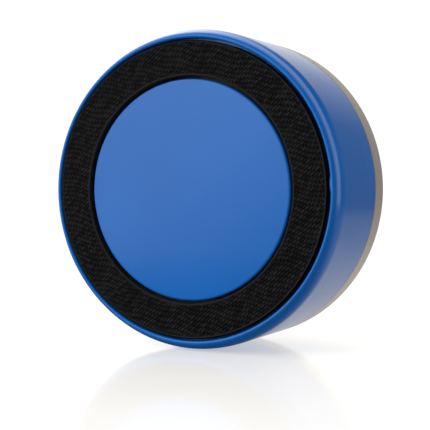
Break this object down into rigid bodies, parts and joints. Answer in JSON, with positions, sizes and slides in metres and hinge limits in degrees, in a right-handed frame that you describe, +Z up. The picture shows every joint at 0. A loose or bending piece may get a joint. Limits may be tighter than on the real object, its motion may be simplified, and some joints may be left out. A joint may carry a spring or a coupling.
{
  "type": "shower speaker",
  "caption": "Round waterproof loudspeaker with a woven grille ring, a fixed centre disc, side buttons and a twist-lock suction cup.",
  "frame": {"origin": "on the speaker's axis, in the plane of the suction cup's lip, which is the wall", "axes": "+Y points into the wall along the speaker's axis, the round front faces -Y, +Z is up"},
  "size_m": [0.086, 0.0481, 0.086],
  "materials": {
    "blue_paint": "gloss",
    "satin_metal": "circular brushed satin, champagne",
    "black_cloth": "woven",
    "black_plastic": "fine texture",
    "soft_black": "matt",
    "clear_silicone": "satin, translucent",
    "steel": "pressed sheet",
    "zinc": "zinc plated",
    "ferrite": "matt",
    "paper": "pressed pulp",
    "treated_cloth": "resin treated",
    "copper": "enamelled winding",
    "board": "solder mask",
    "chip": "moulded",
    "foil": "pouch foil",
    "ivory": "moulded",
    "polyimide": "flexible film",
    "red_wire": "satin sleeve",
    "light_pipe": "clear moulded"
  },
  "bodies": {
    "wall_cup": {"suction_cup": "clear_silicone"},
    "cup_lock": {"cup_hub": "black_plastic"},
    "speaker": {"front_casing": "blue_paint", "trim_band": "satin_metal", "back_cover": "black_plastic", "casing_seal": "soft_black", "cover_screw_1": "zinc", "cover_screw_2": "zinc", "cover_screw_3": "zinc", "grille_frame": "black_plastic", "grille_cloth": "black_cloth", "centre_disc": "blue_paint", "disc_adhesive_ring": "soft_black", "driver_basket": "steel", "driver_gasket": "soft_black", "driver_surround": "soft_black", "driver_spider": "treated_cloth", "top_plate": "zinc", "magnet": "ferrite", "yoke": "zinc", "terminal_strip": "ivory", "driver_screw_1": "zinc", "driver_screw_2": "zinc", "driver_screw_3": "zinc", "driver_screw_4": "zinc", "main_board": "board", "shield_can": "steel", "amplifier_chip": "chip", "usb_socket": "steel", "microphone": "steel", "status_led": "ivory", "light_pipe": "light_pipe", "battery_pad": "soft_black", "battery_cell": "foil", "battery_plug": "ivory", "battery_wire_red": "red_wire", "battery_wire_black": "soft_black", "speaker_wire_red": "red_wire", "speaker_wire_black": "soft_black", "switch_board": "board", "button_ribbon": "polyimide", "button_bezel": "soft_black", "tact_switch_1": "steel", "tact_switch_2": "steel", "tact_switch_3": "steel", "tact_switch_4": "steel", "flap_anchor": "soft_black"},
    "moving_coil": {"driver_cone": "paper", "dust_cap": "paper", "voice_coil": "copper"},
    "flap": {"port_flap": "soft_black"},
    "power_button_key": {"power_button": "soft_black", "switch_plunger_1": "chip"},
    "volume_down_button_key": {"volume_down_button": "soft_black", "switch_plunger_2": "chip"},
    "play_button_key": {"play_button": "soft_black", "switch_plunger_3": "chip"},
    "volume_up_button_key": {"volume_up_button": "soft_black", "switch_plunger_4": "chip"}
  },
  "joints": [
    {"name": "cup_press", "type": "slide", "parent": "wall_cup", "child": "cup_lock", "axis": [0, 1, 0], "range_m": [0, 0.003], "stiffness_N_per_m": 4000, "deforming": ["suction_cup"]},
    {"name": "cup_twist", "type": "hinge", "parent": "cup_lock", "child": "speaker", "pos_m": [0, 0, 0], "axis": [0, -1, 0], "range_deg": [0, 50]},
    {"name": "cone_travel", "type": "slide", "parent": "speaker", "child": "moving_coil", "axis": [0, -1, 0], "range_m": [-0.0012, 0.0012], "stiffness_N_per_m": 1200, "deforming": ["driver_surround", "driver_spider"]},
    {"name": "port_flap_hinge", "type": "hinge", "parent": "speaker", "child": "flap", "pos_m": [-0.04216, -0.0249, 0.00845], "axis": [0, 1, 0], "range_deg": [0, 105]},
    {"name": "power_button_press", "type": "slide", "parent": "speaker", "child": "power_button_key", "axis": [0.6428, 0, -0.766], "range_m": [0, 0.0005], "stiffness_N_per_m": 1500},
    {"name": "volume_down_button_press", "type": "slide", "parent": "speaker", "child": "volume_down_button_key", "axis": [0.6428, 0, -0.766], "range_m": [0, 0.0005], "stiffness_N_per_m": 1500},
    {"name": "play_button_press", "type": "slide", "parent": "speaker", "child": "play_button_key", "axis": [0.6428, 0, -0.766], "range_m": [0, 0.0005], "stiffness_N_per_m": 1500},
    {"name": "volume_up_button_press", "type": "slide", "parent": "speaker", "child": "volume_up_button_key", "axis": [0.6428, 0, -0.766], "range_m": [0, 0.0005], "stiffness_N_per_m": 1500}
  ]
}
